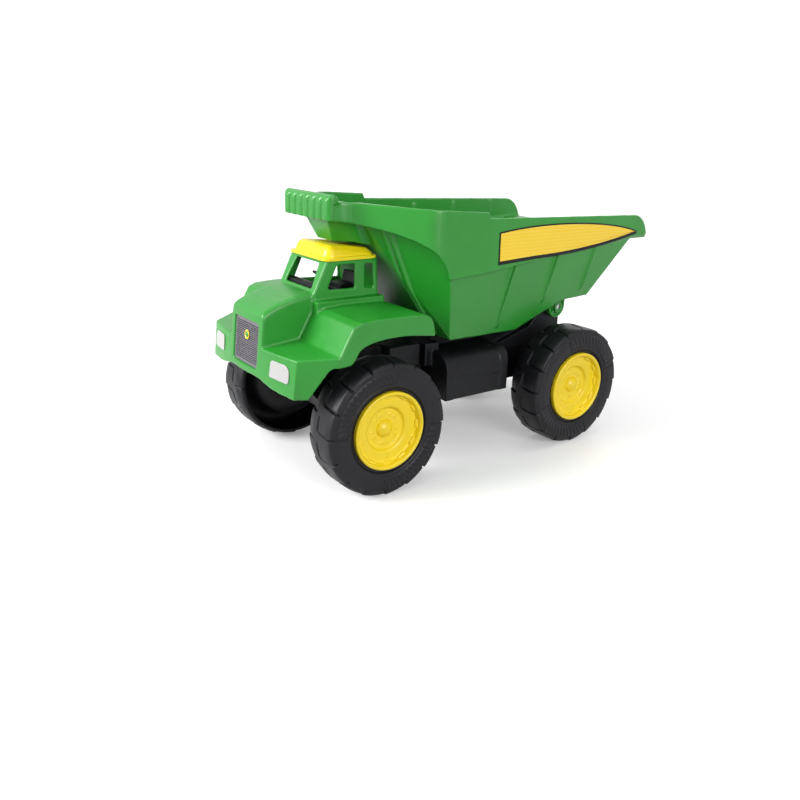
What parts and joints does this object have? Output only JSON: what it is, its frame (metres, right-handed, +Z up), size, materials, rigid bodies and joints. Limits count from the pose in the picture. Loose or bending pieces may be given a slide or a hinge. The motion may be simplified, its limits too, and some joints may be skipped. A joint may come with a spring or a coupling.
{
  "type": "toy dump truck",
  "caption": "Moulded sandbox dump truck with a tipping bed over the cab, large wheels on plain axles, an open cab and a ribbed hopper with a rear chute.",
  "frame": {"origin": "on the ground, midway between the truck's front and rear ends and on its centre plane", "axes": "+X to the truck's left, +Y to its rear, +Z up"},
  "size_m": [0.1896, 0.377, 0.2296],
  "materials": {
    "green_plastic": "satin moulded plastic",
    "yellow_plastic": "satin moulded plastic",
    "black_plastic": "matt moulded plastic",
    "tyre_plastic": "matt hard plastic with moulded relief",
    "grille_plastic": "matt dark grey",
    "lamp_plastic": "light grey, slightly glossy",
    "badge_plastic": "satin",
    "decal_film": "printed film with a black outline",
    "steel": "plain steel"
  },
  "bodies": {
    "truck": {"chassis": "black_plastic", "cab_body": "green_plastic", "cab_roof": "yellow_plastic", "cab_interior": "black_plastic", "steering_wheel": "black_plastic", "grille_panel": "grille_plastic", "grille_badge": "badge_plastic", "headlight_left": "lamp_plastic", "headlight_right": "lamp_plastic", "cab_screws": "steel", "hinge_pin": "steel", "hinge_clips": "green_plastic", "front_axle": "steel", "rear_axle": "steel", "axle_push_nuts": "steel"},
    "bed": {"dump_bed": "green_plastic", "bed_decal_left": "decal_film", "bed_decal_right": "decal_film"},
    "wheel_front_left": {"tyre_front_left": "tyre_plastic", "hub_front_left": "yellow_plastic", "hub_cap_front_left": "yellow_plastic"},
    "wheel_front_right": {"tyre_front_right": "tyre_plastic", "hub_front_right": "yellow_plastic", "hub_cap_front_right": "yellow_plastic"},
    "wheel_rear_left": {"tyre_rear_left": "tyre_plastic", "hub_rear_left": "yellow_plastic", "hub_cap_rear_left": "yellow_plastic"},
    "wheel_rear_right": {"tyre_rear_right": "tyre_plastic", "hub_rear_right": "yellow_plastic", "hub_cap_rear_right": "yellow_plastic"}
  },
  "joints": [
    {"name": "bed_hinge", "type": "hinge", "parent": "truck", "child": "bed", "pos_m": [0, 0.1195, 0.12], "axis": [-1, 0, 0], "range_deg": [0, 55]},
    {"name": "wheel_front_left_spin", "type": "hinge", "parent": "truck", "child": "wheel_front_left", "pos_m": [0, -0.1095, 0.055], "axis": [1, 0, 0], "continuous": true},
    {"name": "wheel_front_right_spin", "type": "hinge", "parent": "truck", "child": "wheel_front_right", "pos_m": [0, -0.1095, 0.055], "axis": [1, 0, 0], "continuous": true},
    {"name": "wheel_rear_left_spin", "type": "hinge", "parent": "truck", "child": "wheel_rear_left", "pos_m": [0, 0.1045, 0.055], "axis": [1, 0, 0], "continuous": true},
    {"name": "wheel_rear_right_spin", "type": "hinge", "parent": "truck", "child": "wheel_rear_right", "pos_m": [0, 0.1045, 0.055], "axis": [1, 0, 0], "continuous": true}
  ]
}
